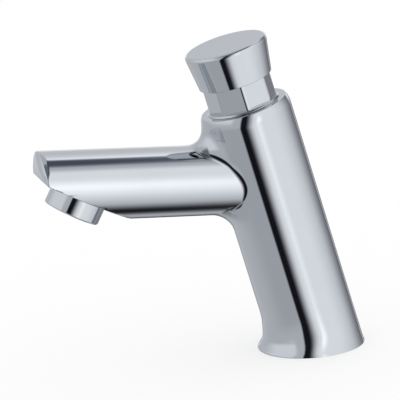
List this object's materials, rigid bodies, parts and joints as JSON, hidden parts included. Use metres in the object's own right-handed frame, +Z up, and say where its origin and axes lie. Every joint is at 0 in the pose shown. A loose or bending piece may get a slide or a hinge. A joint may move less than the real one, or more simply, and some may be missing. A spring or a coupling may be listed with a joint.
{
  "type": "push timed tap",
  "caption": "Chromed deck tap with a leaning column, a short spout with an angled aerator, and a conical push button that opens a spring-closed timed valve.",
  "frame": {"origin": "centre of the round foot, on the deck", "axes": "+Z up from the deck, -Y towards the spout's end, +X to the user's right when the user faces the spout along +Y"},
  "size_m": [0.05, 0.1448, 0.148],
  "materials": {
    "chrome": "polished chrome plate on cast or turned brass",
    "brass": "turned, unplated",
    "steel": "turned stainless steel",
    "rubber": "moulded black sealing rubber",
    "white_plastic": "moulded white acetal"
  },
  "bodies": {
    "tap_body": {"body_casting": "chrome", "base_seal": "rubber", "inlet_filter": "steel", "seat_gasket": "rubber", "cartridge_housing": "brass", "lower_o_ring": "rubber", "upper_o_ring": "rubber", "neck_o_ring": "rubber", "valve_seat": "steel", "guide_bush": "white_plastic", "spindle_seal": "rubber", "spring_washer": "steel", "return_spring": "steel", "slip_washer": "white_plastic", "neck_sleeve": "chrome", "wiper_seal": "rubber", "aerator_housing": "chrome", "aerator_gasket": "rubber", "aerator_insert": "white_plastic", "aerator_screen": "steel"},
    "plunger": {"push_button": "chrome", "button_lock_nut": "steel", "spindle": "steel", "piston": "white_plastic", "piston_lip_seal": "rubber", "timing_jet": "brass", "piston_clips": "steel", "valve_washer": "rubber", "valve_plate": "brass", "valve_nut": "steel"}
  },
  "joints": [
    {"name": "button_press", "type": "slide", "parent": "tap_body", "child": "plunger", "axis": [0, 0.225, -0.9744], "range_m": [0, 0.008], "stiffness_N_per_m": 1200, "springref_m": -0.012, "deforming": ["return_spring"]}
  ]
}
